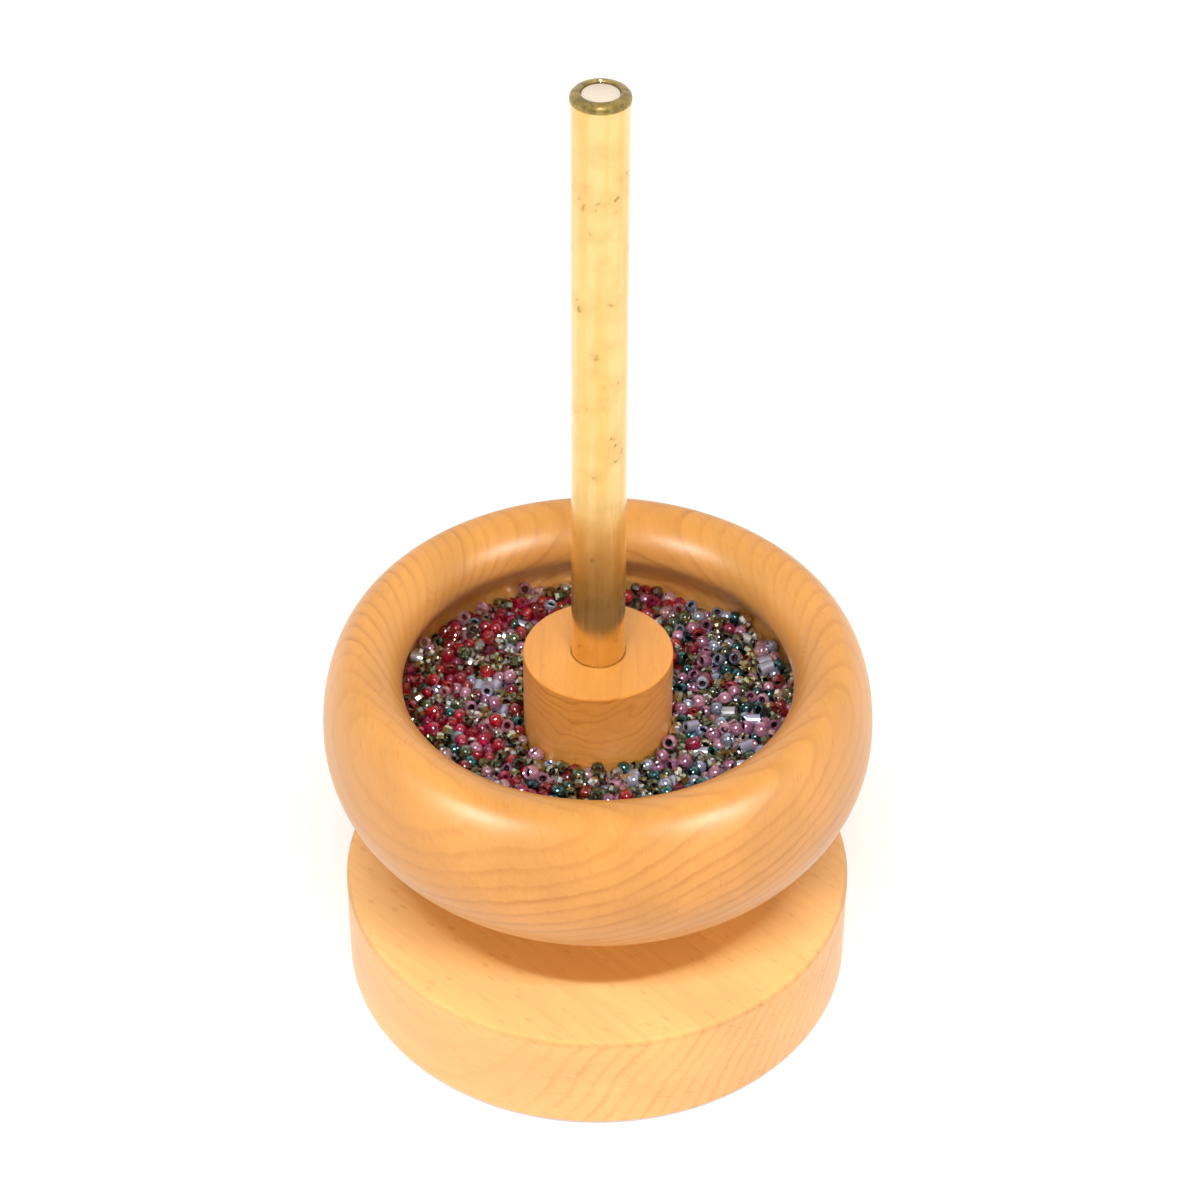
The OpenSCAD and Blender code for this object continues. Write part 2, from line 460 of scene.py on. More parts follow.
@dataclass(frozen=True)
class TurnedBeech(Finish):
    """Steamed beech, turned, sanded and varnished satin.

    It gives the eye a warm orange tan with thin jagged growth rings, clearest on the end grain,
    short dark ray flecks along the grain, darker end grain, and a soft sheen from the varnish.

    Pith is a point on the log's centre line and reach the piece's usual distance from it. The
    rings sway off true circles in waves of the length bend. They run from the early wood's
    colour to the late wood's. Edge shade is how much darker the eased edge is painted, a
    painted shade that takes back the brightness the key light gives it.
    """

    name: str
    pith: Place
    grain: Place
    ring_width: float
    early: str
    late: str
    end_contrast: float
    side_contrast: float = 0.3
    reach: float = 0.1
    sway: float = 1.2 * MM
    bend: float = 26 * MM
    flecks: float = 0.2
    edge_shade: float = 0.0

    def material(self) -> Material:
        """Builds the finish and returns its material."""
        add = self.start()
        coords = add("TexCoord", output=None)
        turn = Vector(self.grain).to_track_quat("Z", "Y").to_euler()
        log = add("Mapping", coords["Object"], self.pith, turn, vector_type="TEXTURE")
        # Each pattern is drawn out along the log, the fibres most of all. Real fibres are a tenth
        # of a millimetre wide and too fine to show here, so they are drawn 0.9 mm wide.
        across, flat, along = (
            add("VectorMath MULTIPLY", log, (1, 1, squeeze)) for squeeze in (0.25, 0, 0.05)
        )
        bend, ripple, jag, fading, cloud, fibre = (
            add("TexNoise", {"Vector": vector, "Scale": 1 / size, "Detail": detail})
            for vector, size, detail in (
                (across, self.bend, 1.0),
                (across, 5 * MM, 2.0),
                (across, 1.1 * MM, 2.0),
                (across, 9 * MM, 2.0),
                (across, 17 * MM, 3.0),
                (along, 0.9 * MM, 3.0),
            )
        )
        reach = add("VectorMath LENGTH", flat, output="Value")
        wandered = reach
        for wave, width in ((bend, 4 * self.sway), (ripple, 0.8 * self.sway), (jag, 0.45 * MM)):
            wandered = add("Math MULTIPLY_ADD", wave, width, wandered)
        years = add("Math DIVIDE", wandered, self.ring_width)
        part = add("Math FRACT", years)
        chance = add("TexWhiteNoise", {"W": add("Math FLOOR", years)}, noise_dimensions="1D")
        rise, fall = (
            add("MapRange", part, *span, interpolation_type="SMOOTHSTEP")
            for span in ((0.3, 0.84), (1.0, 0.86))
        )
        sharp = add("Math POWER", rise, 2.2)
        late = add("Math MULTIPLY", sharp, fall)
        way = Vector(self.grain).normalized()
        facing = add("VectorMath DOT_PRODUCT", coords["Normal"], way, output="Value")
        end_grain = add("Math MULTIPLY", facing, facing)
        # Some years are weak, side grain shows less, and stretches of a ring fade and come back
        for strength in (
            (chance, 0.0, 1.0, 0.45, 1.0),
            (end_grain, 0.0, 0.5, self.side_contrast, self.end_contrast),
            (fading, 0.35, 0.65, 0.45),
        ):
            late = add("Math MULTIPLY", late, add("MapRange", *strength))
        # Rays are upright ribbons, 0.2 mm thick and 1 mm tall, that run out from the pith
        xyz = add("SeparateXYZ", log, output=None)
        angle = add("Math ARCTAN2", xyz["Y"], xyz["X"])
        ray_place = add("CombineXYZ", reach, angle, xyz["Z"])
        ray_size = (1 / (7 * MM), self.reach / (0.7 * MM), 1 / (4.2 * MM))
        ray_cells = add("VectorMath MULTIPLY", ray_place, ray_size)
        rays = add("TexVoronoi", {"Vector": ray_cells, "Scale": 1.0}, output=None)
        thin = add("MapRange", rays["Distance"], 0.34, 0.16, interpolation_type="SMOOTHSTEP")
        picked = add("Math GREATER_THAN", rays["Color"], 0.62)
        fleck = add("Math MULTIPLY", thin, picked)
        colour = self.early
        for share, other, blend in (
            (late, self.late, "MIX"),
            (add("Math MULTIPLY", fleck, self.flecks), "#B06E34", "MIX"),
            (add("Math MULTIPLY", end_grain, 0.25), "#E6C4A4", "MULTIPLY"),
        ):
            mixed = {0: share, MIX_A: colour, MIX_B: other}
            colour = add("Mix", mixed, output=MIX_RESULT, data_type="RGBA", blend_type=blend)
        fibre_level = add("MapRange", fibre, 0.0, 1.0, 0.9, 1.08)
        cloud_level = add("MapRange", cloud, 0.3, 0.7, 0.88, 1.08)
        level = add("Math MULTIPLY", fibre_level, cloud_level)
        # A face that looks half up lies on the eased edge, which is painted darker: a painted shade that
        # takes back the brightness the key light gives it
        up = add("SeparateXYZ", coords["Normal"], output="Z")
        up_squared = add("Math MULTIPLY", up, up)
        eased = add("Math SUBTRACT", up, up_squared, use_clamp=True)
        painted_shade_level = add("Math MULTIPLY_ADD", eased, -4 * self.edge_shade, level)
        relief = add("Math MULTIPLY_ADD", fibre, 0.5, late)
        looks = {
            "Base Color": add("HueSaturation", {"Value": painted_shade_level, "Color": colour}),
            "Roughness": add("MapRange", fibre, 0.0, 1.0, 0.36, 0.52),
            "IOR": 1.5,
            "Normal": add("Bump", {"Height": relief, "Strength": 0.35, "Distance": 0.04 * MM}),
            "Coat Weight": 0.6,
            "Coat Roughness": 0.35,
        }
        return self.end(add, looks)


@dataclass(frozen=True)
class DrawnBrass(Finish):
    """Brass tube as drawn, handled and a little tarnished.

    It gives the eye a bright pale yellow metal with fine streaks along the tube, cloudy
    patches and small dark specks, and above nose_z a duller olive cut end.
    """

    nose_z: float
    name: str = "drawn_brass"

    def material(self) -> Material:
        """Builds the finish and returns its material."""
        add = self.start()
        place = add("TexCoord", output="Object")
        # The die's streaks are finer on the real tube and are drawn 0.7 mm wide, so that they show
        along = add("VectorMath MULTIPLY", place, (1, 1, 0.03))
        streaks, patches, bands, marks = (
            add("TexNoise", {"Vector": vector, "Scale": 1 / size, "Detail": detail})
            for vector, size, detail in (
                (along, 0.7 * MM, 3.0), (place, 6 * MM, 3.0), (along, 3 * MM, 2.0), (place, 1.3 * MM, 2.0)
            )
        )
        height = add("SeparateXYZ", place, output="Z")
        blur = 0.2 * MM
        small, picked, nose, banded, mottled = (
            add("MapRange", *span, interpolation_type="SMOOTHSTEP")
            for span in (
                (marks, 0.58, 0.68),
                (patches, 0.56, 0.66),
                (height, self.nose_z - blur, self.nose_z + blur),
                (bands, 0.42, 0.6),
                (marks, 0.35, 0.65),
            )
        )
        # Small irregular marks stand in clusters, where the patches are strongest
        speck = add("Math MULTIPLY", small, picked)
        cloudy = add("MapRange", patches, 0.42, 0.68, 0.0, 0.5)
        mixed = {0: mottled, MIX_A: "#857438", MIX_B: "#AC9450"}
        worn = add("Mix", mixed, output=MIX_RESULT, data_type="RGBA")
        colour = "#F0D290"
        for share, other in ((banded, "#E9C97C"), (cloudy, "#D0AC60"), (speck, "#B2944C"), (nose, worn)):
            mixed = {0: share, MIX_A: colour, MIX_B: other}
            colour = add("Mix", mixed, output=MIX_RESULT, data_type="RGBA")
        streaky = add("MapRange", streaks, 0.0, 1.0, 0.14, 0.34)
        looks = {
            "Base Color": colour,
            # The film of tarnish scatters a share of the light
            "Metallic": 0.85,
            "Roughness": add("Math MULTIPLY_ADD", nose, 0.3, streaky),
            "Normal": add("Bump", {"Height": streaks, "Strength": 0.3, "Distance": 0.01 * MM}),
            "Coat Weight": 0.8,
            "Coat Roughness": 0.12,
        }
        return self.end(add, looks)


@dataclass(frozen=True)
class PlainMetal(Finish):
    """Steel of one colour with a fine, even texture.

    It gives the eye a neutral grey metal whose gloss clouds a little from patch to patch. A
    stretch under 1 draws the patches out along the axis.
    """

    name: str
    colour: str
    dull: str
    least_rough: float
    most_rough: float
    patch: float
    stretch: float = 1.0

    def material(self) -> Material:
        """Builds the finish and returns its material."""
        add = self.start()
        place = add("TexCoord", output="Object")
        along = add("VectorMath MULTIPLY", place, (1, 1, self.stretch))
        grain = add("TexNoise", {"Vector": along, "Scale": 1 / self.patch, "Detail": 3.0})
        mixed = {0: grain, MIX_A: self.colour, MIX_B: self.dull}
        looks = {
            "Base Color": add("Mix", mixed, output=MIX_RESULT, data_type="RGBA"),
            "Metallic": 1.0,
            "Roughness": add("MapRange", grain, 0.0, 1.0, self.least_rough, self.most_rough),
        }
        return self.end(add, looks)


@dataclass(frozen=True)
class Moulded(Finish):
    """Plastic or rubber with the fine grain of its mould.

    It gives the eye an even, softly lit skin without a clear reflection.
    """

    name: str
    colour: str
    grain_colour: str
    rough: float
    grain: float
    grain_depth: float
    subsurface: float = 0.0

    def material(self) -> Material:
        """Builds the finish and returns its material."""
        add = self.start()
        place = add("TexCoord", output="Object")
        grain = add("TexNoise", {"Vector": place, "Scale": 1 / self.grain, "Detail": 2.0})
        mixed = {0: grain, MIX_A: self.colour, MIX_B: self.grain_colour}
        looks = {
            "Base Color": add("Mix", mixed, output=MIX_RESULT, data_type="RGBA"),
            "Roughness": add("MapRange", grain, 0.0, 1.0, self.rough - 0.08, self.rough + 0.08),
            "Normal": add("Bump", {"Height": grain, "Strength": 0.5, "Distance": self.grain_depth}),
            "Subsurface Weight": self.subsurface,
            "Subsurface Scale": 1 * MM,
        }
        return self.end(add, looks)


class BeadShape(Enum):
    """Cuts of seed bead: mean diameter, length and hole in millimetres, corners, and crease in degrees."""

    ROUND = (3.15, 2.35, 1.2, 6, 75)
    SMALL = (2.95, 2.2, 1.1, 6, 25)
    TUBE = (2.65, 2.9, 1.2, 4, 75)


@dataclass(frozen=True)
class BeadGlass(Finish):
    """Pressed or drawn bead glass, from clear to lustred.

    It gives the eye a coloured body with bright small glints. The wall of the hole is bright
    where the bead is silver lined, and elsewhere it is painted darker, a painted shade in the hole.

    The beads' colours spread between colour and other. The lining column colours the hole's
    wall: bright silver where the bead is lined, and a dark painted shade in the hole where lined is 0.
    Lined is the share of mirror on the hole's wall, metallic that in the body of a lustred bead,
    and clear the share of light that passes through. Left and right are the kind's shares among
    its shape at the left and back, and at the right and front, of the bowl.
    """

    name: str
    shape: BeadShape
    colour: str
    other: str
    lining: str
    lined: float
    metallic: float
    rough: float
    clear: float
    left: float
    right: float

    GLOSSY_BELOW = 0.15

    def material(self) -> Material:
        """Builds the finish and returns its material."""
        add = self.start()
        tint = add("Attribute", output="Fac", attribute_name="tint")
        lining = add("Attribute", output="Fac", attribute_name="lining")
        mixed = {0: tint, MIX_A: self.colour, MIX_B: self.other}
        body = add("Mix", mixed, output=MIX_RESULT, data_type="RGBA")
        # On the hole's wall the body gives way to the colour of the lining column: bright silver where the
        # bead is lined, and a dark painted shade in the hole where lined is 0
        inner = add("MapRange", lining, 0.75, 0.98, interpolation_type="SMOOTHSTEP")
        mixed = {0: inner, MIX_A: body, MIX_B: self.lining}
        mirror = (self.metallic, max(self.metallic, self.lined))
        looks = {
            "Base Color": add("Mix", mixed, output=MIX_RESULT, data_type="RGBA"),
            "Metallic": add("MapRange", inner, 0.0, 1.0, *mirror),
            "Roughness": self.rough,
            "IOR": 1.52,
            "Transmission Weight": self.clear,
            "Coat Weight": 1.0 if self.rough < self.GLOSSY_BELOW else 0.4,
            "Coat Roughness": 0.1,
        }
        return self.end(add, looks)


@dataclass
class Assembly:
    """Base of the sub-assemblies, which share one lathe."""

    lathe: Lathe


@dataclass
class TurnedBase(Assembly):
    """Round beech base with its socket for the lower nut and rubber feet, dished below, let in."""

    edge_r: float = 1.4 * MM
    chamfer: float = 0.3 * MM
    bore_r: float = 3.2 * MM
    socket_r: float = 10.5 * MM
    foot_count: int = 4
    foot_r: float = 6 * MM
    foot_inset: float = 15 * MM
    foot_gap: float = 0.2 * MM
    foot_edge_r: float = 0.45 * MM
    dish_r: float = 3.2 * MM
    dish_h: float = 0.25 * MM

    def build(self) -> None:
        """Makes the base and its feet."""
        low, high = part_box("base_body")
        foot_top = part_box("base_feet")[1].z
        socket_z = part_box("lower_washer")[1].z
        beech = TurnedBeech(
            name="beech_base",
            pith=(0.106, 0.106, -0.075),
            grain=(0.7, -0.7, 0.04),
            ring_width=3.2 * MM,
            early="#F6C98A",
            late="#D29650",
            end_contrast=0.55,
            side_contrast=0.15,
            reach=0.17,
            edge_shade=0.25,
        ).material()
        edge, ease = self.chamfer, self.edge_r
        outline = [
            (self.bore_r, socket_z + edge),
            (self.bore_r + edge, socket_z),
            (self.socket_r, socket_z),
            (self.socket_r, low.z + edge),
            (self.socket_r + edge, low.z),
            *arc((high.x - ease, low.z + ease), ease, ease, -90, 0, 8),
            *arc((high.x - ease, high.z - ease), ease, ease, 0, 90, 8),
            (self.bore_r + edge, high.z),
            (self.bore_r, high.z - edge),
        ]
        base = self.lathe.turn("turned_base", outline, beech, segments=240)
        ring = {"Count": self.foot_count, "Circle": high.x - self.foot_inset}
        recess = {"Radius": self.foot_r + self.foot_gap, "Top": foot_top, "Depth": 2 * (foot_top - low.z)}
        FootDrill().run(base, beech, **ring, **recess)
        hand_over(base, Body.BASE, "base_body")
        rubber = Moulded("black_rubber", "#353537", "#242426", 0.72, 0.5 * MM, 0.02 * MM).material()
        soft = self.foot_edge_r
        outline = [
            (0.0, self.dish_h),
            (self.dish_r, self.dish_h),
            (self.dish_r + edge, 0.0),
            *arc((self.foot_r - soft, soft), soft, soft, -90, 0, 5),
            *arc((self.foot_r - soft, foot_top - soft), soft, soft, 0, 90, 5),
            (0.0, foot_top),
        ]
        foot = self.lathe.turn("rubber_feet", outline, rubber, segments=48)
        RingOfCopies().run(foot, rubber, **ring)
        hand_over(foot, Body.BASE, "base_feet")


@dataclass
class AxleStack(Assembly):
    """Steel axle with the nuts and washers that clamp it in the base.

    The rolled thread shows thread_above the upper nut, and lead is the chamfer at its lower end.
    A nut's thread is drawn shallow, so that it stays clear of the axle. The thread's profile has
    steep flanks between flat lands, and runs out over some pitches.
    """

    pitch: float = 1.0 * MM
    thread_h: float = 0.5 * MM
    thread_above: float = 7 * MM
    lead: float = 0.7 * MM
    top_chamfer: float = 0.2 * MM
    cup_gap: float = 0.09 * MM
    washer_edge_r: float = 0.3 * MM
    washer_bore_r: float = 3.2 * MM
    washer_chamfer: float = 0.2 * MM
    nut_bore_r: float = 3.03 * MM
    nut_countersink: float = 0.45 * MM
    countersink_h: float = 0.4 * MM
    nut_edge: float = 0.1 * MM
    nut_thread_h: float = 0.12 * MM
    nut_thread_start: float = 0.6 * MM
    nut_thread_end: float = 0.5 * MM

    NUT_FLATS = 72
    NUT_CREASE = 28
    CONE_RINGS = 5
    AXLE_FLATS = 48
    AXLE_CREASE = 40
    CUP_RINGS = 8
    FLANK = 2.4
    LAND = 0.2
    RUN_OUT = 1.5

    def build(self) -> None:
        """Makes the axle, two washers and two nuts."""
        zinc = PlainMetal("zinc_plate", "#C6C8C6", "#9FA3A6", 0.3, 0.45, 1.5 * MM).material()
        steel = PlainMetal("bright_steel", "#C9CBCD", "#AEB1B4", 0.2, 0.36, 0.5 * MM, 0.05).material()
        for name in ("lower_washer", "upper_washer"):
            low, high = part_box(name)
            edges = (self.washer_edge_r, self.washer_chamfer)
            outline = eased_ring(high.x, self.washer_bore_r, low.z, high.z, *edges)
            washer = self.lathe.turn(f"stamped_{name}", outline, zinc, segments=64)
            hand_over(washer, Body.BASE, name)
        for name in ("lower_nut", "upper_nut"):
            self.nut(name, zinc)
        self.axle(steel)

    def phase(self, angles: np.ndarray, z: float) -> np.ndarray:
        """Share of the thread's pitch that has passed at each angle.

        Args:
            angles: Angles round the axis.
            z: Height.

        Returns:
            Share from 0 to 1 at each angle.
        """
        return (z / self.pitch - angles / (2 * math.pi)) % 1.0

    def nut(self, name: str, zinc: Material) -> None:
        """Makes one hexagon nut with chamfered corners and a threaded look inside its bore.

        Args:
            name: Node that the nut stands for.
            zinc: Its finish.
        """
        low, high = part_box(name)
        sixth = math.radians(60)
        corner = max(high.x, high.y)
        flat = corner * math.cos(sixth / 2)
        slope = math.tan(sixth / 2)
        angles = np.arange(self.NUT_FLATS) * 2 * math.pi / self.NUT_FLATS
        turn = 0.0 if high.x > high.y else sixth / 2
        hexagon = flat / np.cos((angles - turn) % sixth - sixth / 2)
        mouth = self.nut_bore_r + self.nut_countersink
        radii = np.linspace(flat, corner, self.CONE_RINGS)[1:]
        cone = [((r - flat + self.nut_edge) * slope, r) for r in radii]
        face = [(0.0, mouth), (0.0, flat - self.nut_edge), *cone]
        # Each row has a height and the radius of the cone that limits the hexagon there
        rows = [(low.z + rise, r) for rise, r in face]
        rows += [(high.z - rise, r) for rise, r in reversed(face)]
        rings = [(z, np.minimum(hexagon, r)) for z, r in rows]
        thread = (high.z - self.nut_thread_start, low.z + self.nut_thread_end)
        inside = np.arange(*thread, -self.pitch / 4)
        for z in (high.z - self.countersink_h, *inside, low.z + self.countersink_h):
            height = np.abs(2 * self.phase(angles, z) - 1)
            rings.append((z, self.nut_bore_r + self.nut_thread_h * height))
        piece = ring_mesh(f"hexagon_{name}", rings, angles)
        dress(piece, zinc, self.NUT_CREASE)
        hand_over(piece, Body.BASE, name)

    def axle(self, steel: Material) -> None:
        """Makes the axle: a rod with a rolled thread below and a cup for the ball on top.

        Args:
            steel: Its finish.
        """
        low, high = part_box("axle")
        ball_low, ball_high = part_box("pivot_ball")
        radius = high.x
        thread_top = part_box("upper_nut")[1].z + self.thread_above
        angles = np.arange(self.AXLE_FLATS) * 2 * math.pi / self.AXLE_FLATS
        rings = [(low.z, radius - self.lead)]
        for z in np.arange(low.z + 0.1 * MM, thread_top, self.pitch / 8):
            groove = np.clip(self.FLANK * np.abs(self.phase(angles, z) - 0.5) - self.LAND, 0, 1)
            fade = np.clip((thread_top - z) / (self.RUN_OUT * self.pitch), 0, 1)
            lead = radius - self.lead + (z - low.z)
            rings.append((z, np.minimum(radius - self.thread_h * groove * fade, lead)))
        chamfer = self.top_chamfer
        rings += [(thread_top, radius), (high.z - chamfer, radius), (high.z, radius - chamfer)]
        centre_z = (ball_low.z + ball_high.z) / 2
        cup_r = (ball_high.z - ball_low.z) / 2 + self.cup_gap
        edge = math.acos((centre_z - high.z) / cup_r)
        for angle in np.linspace(edge, 0.0, self.CUP_RINGS)[:-1]:
            rings.append((centre_z - cup_r * math.cos(angle), cup_r * math.sin(angle)))
        piece = ring_mesh("threaded_axle", rings, angles, cap_z=centre_z - cup_r)
        dress(piece, steel, self.AXLE_CREASE)
        hand_over(piece, Body.BASE, "axle")


def ring_mesh(
    name: str, rings: list[tuple[float, np.ndarray | float]], angles: np.ndarray, cap_z: float | None = None
) -> Object:
    """Joins rings of points round +Z into a closed skin.

    Args:
        name: Name of the piece.
        rings: Height and radii of each ring, in order along the skin from below, outside.
        angles: Angle of each point in a ring.
        cap_z: Height of the last cap's middle point, or None where the last ring joins the first.

    Returns:
        The piece.
    """
    around = len(angles)
    rows = len(rings)
    radii = np.array([r + np.zeros(around) for _, r in rings])
    heights = np.repeat([z for z, _ in rings], around)
    places = np.stack([(radii * np.cos(angles)).ravel(), (radii * np.sin(angles)).ravel(), heights], axis=1)
    steps = [(i, (i + 1) % around) for i in range(around)]
    faces = []
    for row in range(rows if cap_z is None else rows - 1):
        here = row * around
        there = ((row + 1) % rows) * around
        faces += [(here + i, here + j, there + j, there + i) for i, j in steps]
    if cap_z is not None:
        middle = len(places)
        places = np.concatenate([places, [[0, 0, rings[0][0]], [0, 0, cap_z]]])
        last = (rows - 1) * around
        for i, j in steps:
            faces += [(middle, j, i), (middle + 1, last + i, last + j)]
    return new_piece(name, places, [], faces)


def dress(piece: Object, material: Material, crease: float) -> None:
    """Gives a meshed piece its finish, with smooth shading and sharp creases.

    Args:
        piece: Piece to finish.
        material: Its finish.
        crease: Angle in degrees above which an edge stays sharp.
    """
    piece.data.materials.append(material)
    piece.data.polygons.foreach_set("use_smooth", [True] * len(piece.data.polygons))
    work = bmesh.new()
    work.from_mesh(piece.data)
    bmesh.ops.recalc_face_normals(work, faces=work.faces)
    for edge in work.edges:
        edge.smooth = edge.calc_face_angle(0.0) < math.radians(crease)
    work.to_mesh(piece.data)
    work.free()


@dataclass
class PivotTop(Assembly):
    """Ball and plug in the tube's top, on which the bowl spins.

    Rounding is the share of the plug's chamfer at which its middle stands out.
    """

    chamfer: float = 0.4 * MM
    rounding: float = 0.3
    low_chamfer: float = 0.2 * MM
    ball_gap: float = 0.09 * MM

    def build(self) -> None:
        """Makes the ball and the plug."""
        low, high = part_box("pivot_ball")
        centre = (low.z + high.z) / 2
        radius = (high.z - low.z) / 2
        chrome = PlainMetal("polished_ball", "#D2D4D6", "#C2C4C7", 0.05, 0.12, 1 * MM).material()
        outline = [(0.0, low.z), *arc((0.0, centre), radius, radius, -90, 90, 24, 1)]
        ball = self.lathe.turn("polished_ball", outline, chrome, segments=48, crease=60)
        hand_over(ball, Body.PIVOT, "pivot_ball")
        low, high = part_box("top_plug")
        plug_r = high.x
        cup_r = radius + self.ball_gap
        edge = math.degrees(math.asin((low.z - centre) / cup_r))
        nylon = Moulded("cream_nylon", "#DDDCDC", "#D2CFCC", 0.42, 0.8 * MM, 0.01 * MM, 0.2).material()
        middle = self.rounding * self.chamfer
        outline = [
            *arc((0.0, centre), cup_r, cup_r, 90, edge, 10),
            (plug_r - self.low_chamfer, low.z),
            (plug_r, low.z + self.low_chamfer),
            (plug_r, high.z - self.chamfer),
            (plug_r - middle, high.z - middle),
            (plug_r - self.chamfer, high.z),
            (0.0, high.z),
        ]
        plug = self.lathe.turn("cream_plug", outline, nylon, segments=64)
        hand_over(plug, Body.BOWL, "top_plug")


@dataclass
class Spindle(Assembly):
    """Brass tube with its rounded nose and widened lip, and the bush pressed into its lower end."""

    bore_r: float = 4 * MM
    tube_r: float = 6 * MM
    chamfer: float = 0.3 * MM
    nose_h: float = 1.5 * MM
    lip_h: float = 3 * MM
    bush_bore_r: float = 3.06 * MM
    bush_chamfer: float = 0.2 * MM

    def build(self) -> None:
        """Makes the tube and the bush."""
        low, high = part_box("spindle_tube")
        edge, bore, tube_r = self.chamfer, self.bore_r, self.tube_r
        lip_z = high.z - self.nose_h
        brass = DrawnBrass(nose_z=lip_z - edge).material()
        widening = ((1.0, 0.0), (0.75, 0.12), (0.5, 0.5), (0.25, 0.88), (0.0, 1.0))
        outline = [
            (bore, low.z + edge),
            (bore + edge, low.z),
            (tube_r - edge, low.z),
            (tube_r, low.z + edge),
            *((tube_r + (high.x - tube_r) * out, lip_z - self.lip_h * down) for down, out in widening),
            *arc((bore + edge, lip_z), high.x - bore - edge, self.nose_h, 0, 90, 10, 1),
            (bore, high.z - edge),
        ]
        tube = self.lathe.turn("brass_tube", outline, brass)
        hand_over(tube, Body.BOWL, "spindle_tube")
        low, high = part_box("tube_bush")
        hub_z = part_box("hub")[0].z
        plug_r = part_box("top_plug")[1].x
        nylon = Moulded("white_nylon", "#EFE6D8", "#E4D9C8", 0.45, 0.8 * MM, 0.01 * MM, 0.15).material()
        edge, bore = self.bush_chamfer, self.bush_bore_r
        outline = [
            (bore, low.z + edge),
            (bore + edge, low.z),
            (high.x - edge, low.z),
            (high.x, low.z + edge),
            (high.x, hub_z - edge),
            (high.x - edge, hub_z),
            (plug_r, hub_z),
            (plug_r, high.z - 2 * edge),
            (plug_r - 2 * edge, high.z),
            (bore + edge, high.z),
            (bore, high.z - edge),
        ]
        bush = self.lathe.turn("flanged_bush", outline, nylon, segments=64)
        hand_over(bush, Body.BOWL, "tube_bush")


@dataclass
class TurnedBowl(Assembly):
    """Beech bowl with its round overhanging rim, and the hub glued through it.

    The belly is the bowl's widest line. The outside is rounded by belly_round below it and by
    rim_outer up to the rim's top, and the rim falls by rim_inner to the mouth, its narrowest
    line. Below the mouth the inside widens again by the undercut, and a straight wall of at
    least wall_h meets the floor's rounding.
    """

    belly_h: float = 22.3 * MM
    belly_round: float = 18.4 * MM
    rim_outer: float = 9 * MM
    rim_inner: float = 9.3 * MM
    mouth_depth: float = 9.2 * MM
    undercut: float = 5 * MM
    undercut_h: float = 10 * MM
    floor_h: float = 8 * MM
    floor_round: float = 9 * MM
    wall_h: float = 0.5 * MM
    bore_chamfer: float = 0.4 * MM
    glue_gap: float = 0.03 * MM
    lip_over_bore: float = 0.25 * MM
    hub_edge_r: float = 0.6 * MM

    def __post_init__(self) -> None:
        """Reads the bowl's and the hub's places from the frame and works out the rest."""
        self.under, self.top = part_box("bowl")
        self.hub_low, self.hub_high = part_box("hub")
        self.crest_r = self.top.x - self.rim_outer
        self.mouth_r = self.crest_r - self.rim_inner
        self.cavity_r = self.mouth_r + self.undercut
        self.belly_z = self.under.z + self.belly_h
        self.mouth_z = self.top.z - self.mouth_depth
        self.cavity_z = self.mouth_z - self.undercut_h
        self.floor_z = self.under.z + self.floor_h
        self.hub_r = self.hub_high.x
        self.fillet = min(self.floor_round, self.cavity_z - self.floor_z - self.wall_h)
        self.corner = (self.cavity_r - self.fillet, self.floor_z + self.fillet)

    def wall_r(self, z: np.ndarray | float) -> np.ndarray:
        """Radius of the inner wall up to the mouth.

        Args:
            z: Height or heights.

        Returns:
            Radius at each height.
        """
        share = np.clip((self.mouth_z - np.asarray(z)) / self.undercut_h, 0, 1)
        return self.mouth_r + self.undercut * (1 - np.cos(math.pi * share)) / 2

    def build(self) -> None:
        """Makes the bowl and the hub."""
        beech = TurnedBeech(
            name="beech_bowl",
            pith=(0.0256, 0.0, 0.0055),
            grain=(-0.205, 0.828, 0.5225),
            ring_width=2.7 * MM,
            early="#D69E55",
            late="#A86622",
            end_contrast=0.55,
        ).material()
        bore = self.hub_r + self.glue_gap
        shelf = (self.top.x - self.belly_round, self.belly_z)
        steps = np.linspace(self.mouth_z, self.cavity_z, 13)[1:]
        outline = [
            (bore, self.under.z + self.bore_chamfer),
            (bore + self.bore_chamfer, self.under.z),
            *arc(shelf, self.belly_round, self.belly_h, -90, 0, 24),
            *arc((self.crest_r, self.belly_z), self.rim_outer, self.top.z - self.belly_z, 0, 90, 24, 1),
            *arc((self.crest_r, self.mouth_z), self.rim_inner, self.mouth_depth, 90, 180, 16, 1),
            *((float(self.wall_r(z)), float(z)) for z in steps),
            *arc(self.corner, self.fillet, self.fillet, 0, -90, 10),
            (bore, self.floor_z),
        ]
        bowl = self.lathe.turn("turned_bowl", outline, beech, segments=256)
        hand_over(bowl, Body.BOWL, "bowl")
        beech = TurnedBeech(
            name="beech_hub",
            pith=(-0.004, 0.0, 0.125),
            grain=(0.06, 1.0, -0.04),
            ring_width=2.6 * MM,
            early="#D99A4B",
            late="#B06A28",
            end_contrast=0.6,
            side_contrast=0.2,
            reach=0.05,
            sway=2.4 * MM,
            bend=10 * MM,
        ).material()
        lip = self.lip_over_bore
        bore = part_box("spindle_tube")[1].x - lip + self.glue_gap
        heights = (self.hub_low.z, self.hub_high.z)
        outline = eased_ring(self.hub_r, bore, *heights, self.hub_edge_r, lip)
        hub = self.lathe.turn("turned_hub", outline, beech, segments=128)
        hand_over(hub, Body.BOWL, "hub")


